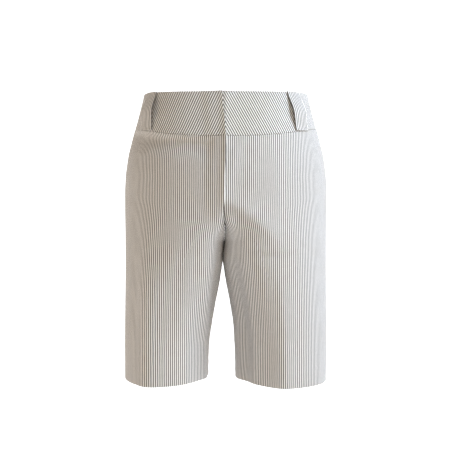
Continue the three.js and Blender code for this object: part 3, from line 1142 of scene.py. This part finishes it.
def studio_sweep(stage):
    """A floor that runs up into a back wall in one soft bend"""
    bpy.ops.object.select_all(action="DESELECT")
    bpy.ops.mesh.primitive_plane_add(size=1, location=(0, -2, stage.floor_level))
    sweep = bpy.context.object
    sweep.name = "floor"
    bpy.ops.transform.resize(value=(SWEEP["width"], SWEEP["depth"], 1))
    bpy.ops.object.transform_apply(location=True, rotation=True, scale=True)
    bpy.ops.object.mode_set(mode="EDIT")
    bpy.ops.mesh.select_all(action="DESELECT")
    bpy.ops.mesh.select_mode(type="EDGE")
    back = max(v.co.y for v in sweep.data.vertices) - 0.01
    select_edges(sweep, lambda p: p.y > back)
    bpy.ops.mesh.extrude_region_move(
        TRANSFORM_OT_translate={"value": (0, 0, SWEEP["height"])}
    )
    bpy.ops.mesh.select_all(action="DESELECT")
    low = stage.floor_level + 0.01
    select_edges(sweep, lambda p: p.y > back and p.z < low)
    bpy.ops.mesh.bevel(offset=SWEEP["bend"], segments=SWEEP["steps"], profile=0.5)
    bpy.ops.object.mode_set(mode="OBJECT")
    bpy.ops.object.shade_smooth()
    sweep.data.materials.append(painted_sweep())


def select_edges(thing, wanted):
    """Selects the edges whose two ends both lie where they are wanted"""
    mesh = bmesh.from_edit_mesh(thing.data)
    for edge in mesh.edges:
        edge.select_set(all(wanted(v.co) for v in edge.verts))
    bmesh.update_edit_mesh(thing.data)


def surroundings(scene, strength):
    """Pale walls all round at the shorts' own height, and a duller ceiling"""
    world = scene.world or bpy.data.worlds.new("studio")
    scene.world = world
    world.use_nodes = True
    tree = world.node_tree
    way = add_node(tree, "ShaderNodeTexCoord").outputs["Generated"]
    height = add_node(tree, "ShaderNodeSeparateXYZ", links={0: way}).outputs["Z"]
    height = add_node(
        tree, "ShaderNodeMath", links={0: height}, operation="ABSOLUTE"
    ).outputs[0]
    walls = add_node(
        tree,
        "ShaderNodeMapRange",
        {"From Min": 0.18, "From Max": 0.5, "To Min": 1.0, "To Max": 0.0},
        {"Value": height},
        interpolation_type="SMOOTHSTEP",
    ).outputs["Result"]
    tone = add_node(tree, "ShaderNodeMix", links={"Factor": walls}, data_type="RGBA")
    tone.inputs[6].default_value = (*linear("#59524B"), 1)
    tone.inputs[7].default_value = (*linear("#DAD4CF"), 1)
    ground = tree.nodes["Background"]
    ground.inputs["Strength"].default_value = strength
    tree.links.new(tone.outputs[2], ground.inputs["Color"])


class SHORTS_OT_studio(bpy.types.Operator):
    """Makes the floor and sweep, the lights and the camera"""

    bl_idname = "shorts.studio"
    bl_label = "Studio"

    def execute(self, context):
        stage = context.scene.shorts_stage
        studio_sweep(stage)
        powers = stage.key_power, stage.fill_power, stage.front_power
        for lamp, power in zip(LAMPS, powers):
            light(*lamp, power)
        surroundings(context.scene, stage.sky)
        context.scene.view_settings.view_transform = "Standard"
        context.scene.view_settings.look = "None"
        place = (stage.camera_aside, -stage.camera_distance, stage.camera_level)
        bpy.ops.object.camera_add(location=place, rotation=(math.pi / 2, 0, 0))
        camera = context.object
        camera.name = "camera"
        camera.data.lens = stage.lens
        camera.data.sensor_width = 36
        context.scene.camera = camera
        return {"FINISHED"}


class SHORTS_PT_sidebar(bpy.types.Panel):
    """Lists the shorts' settings and steps"""

    bl_idname = "SHORTS_PT_sidebar"
    bl_label = "Bermuda shorts"
    bl_space_type = "VIEW_3D"
    bl_region_type = "UI"
    bl_category = "Shorts"

    def draw(self, context):
        layout = self.layout
        for group in (context.scene.shorts_cloth, context.scene.shorts_stage):
            box = layout.box()
            for name in group.__annotations__:
                box.prop(group, name)
        for operator in OPERATORS:
            layout.operator(operator.bl_idname)


OPERATORS = (
    SHORTS_OT_leg_panels,
    SHORTS_OT_waistband,
    SHORTS_OT_belt_loops,
    SHORTS_OT_studio,
)
CLASSES = (ShortsCloth, ShortsStage, *OPERATORS, SHORTS_PT_sidebar)


def register():
    for cls in CLASSES:
        bpy.utils.register_class(cls)
    bpy.types.Scene.shorts_cloth = bpy.props.PointerProperty(type=ShortsCloth)
    bpy.types.Scene.shorts_stage = bpy.props.PointerProperty(type=ShortsStage)


def unregister():
    del bpy.types.Scene.shorts_stage
    del bpy.types.Scene.shorts_cloth
    for cls in reversed(CLASSES):
        bpy.utils.unregister_class(cls)


def main():
    register()
    bpy.ops.shorts.waistband()
    bpy.ops.shorts.leg_panels()
    bpy.ops.shorts.belt_loops()
    bpy.ops.shorts.studio()


if __name__ == "__main__":
    main()
